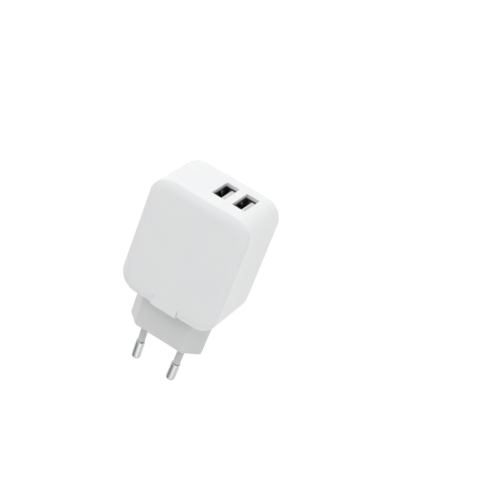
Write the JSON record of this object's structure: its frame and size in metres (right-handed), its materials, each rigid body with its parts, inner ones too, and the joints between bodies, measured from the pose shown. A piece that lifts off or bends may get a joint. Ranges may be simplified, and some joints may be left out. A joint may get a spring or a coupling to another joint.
{
  "type": "usb wall charger",
  "caption": "Compact white wall charger with a flat round-pin mains plug at one end of a rounded box and USB-A sockets standing on edge in the other end.",
  "frame": {"origin": "midway between the pins, on the plug face that meets the wall socket", "axes": "+Y along the pins into the socket, +Z out of the large front face, +X across the width to the side away from the USB sockets"},
  "size_m": [0.0454, 0.0907, 0.0294],
  "materials": {
    "housing": "fine satin moulding",
    "plug_plastic": "fine satin moulding, a shade greyer than the housing",
    "pin_metal": "nickel plated, polished",
    "pin_sleeve": "smooth moulding",
    "contact_brass": "stamped",
    "board": "solder mask over glass laminate",
    "sheet": "thin film",
    "port_steel": "tin plated, stamped",
    "port_plastic": "smooth moulding",
    "gold_contact": "gold plated, stamped",
    "ferrite": "sintered",
    "bobbin": "moulded",
    "tape": "wound film tape",
    "capacitor_sleeve": "shrunk sleeve",
    "coating_blue": "dipped coating",
    "chip": "moulded epoxy"
  },
  "bodies": {
    "root": {"front_shell": "housing", "rear_cover": "housing", "plug_body": "plug_plastic", "pin_left": "pin_metal", "pin_right": "pin_metal", "pin_sleeve_left": "pin_sleeve", "pin_sleeve_right": "pin_sleeve", "pin_contact_left": "contact_brass", "pin_contact_right": "contact_brass", "main_board": "board", "insulation_sheet": "sheet", "usb_shell_1": "port_steel", "usb_shell_2": "port_steel", "usb_insulator_1": "port_plastic", "usb_insulator_2": "port_plastic", "usb_contact_1_1": "gold_contact", "usb_contact_1_2": "gold_contact", "usb_contact_1_3": "gold_contact", "usb_contact_1_4": "gold_contact", "usb_contact_2_1": "gold_contact", "usb_contact_2_2": "gold_contact", "usb_contact_2_3": "gold_contact", "usb_contact_2_4": "gold_contact", "transformer_core_1": "ferrite", "transformer_core_2": "ferrite", "transformer_bobbin": "bobbin", "transformer_winding": "tape", "transformer_tape": "tape", "input_capacitor_1": "capacitor_sleeve", "input_capacitor_2": "capacitor_sleeve", "output_capacitor_1": "capacitor_sleeve", "output_capacitor_2": "capacitor_sleeve", "input_choke": "ferrite", "fuse_resistor": "coating_blue", "bridge_rectifier": "chip", "safety_capacitor": "coating_blue", "primary_controller": "chip", "output_rectifier": "chip", "port_controller": "chip"}
  },
  "joints": []
}
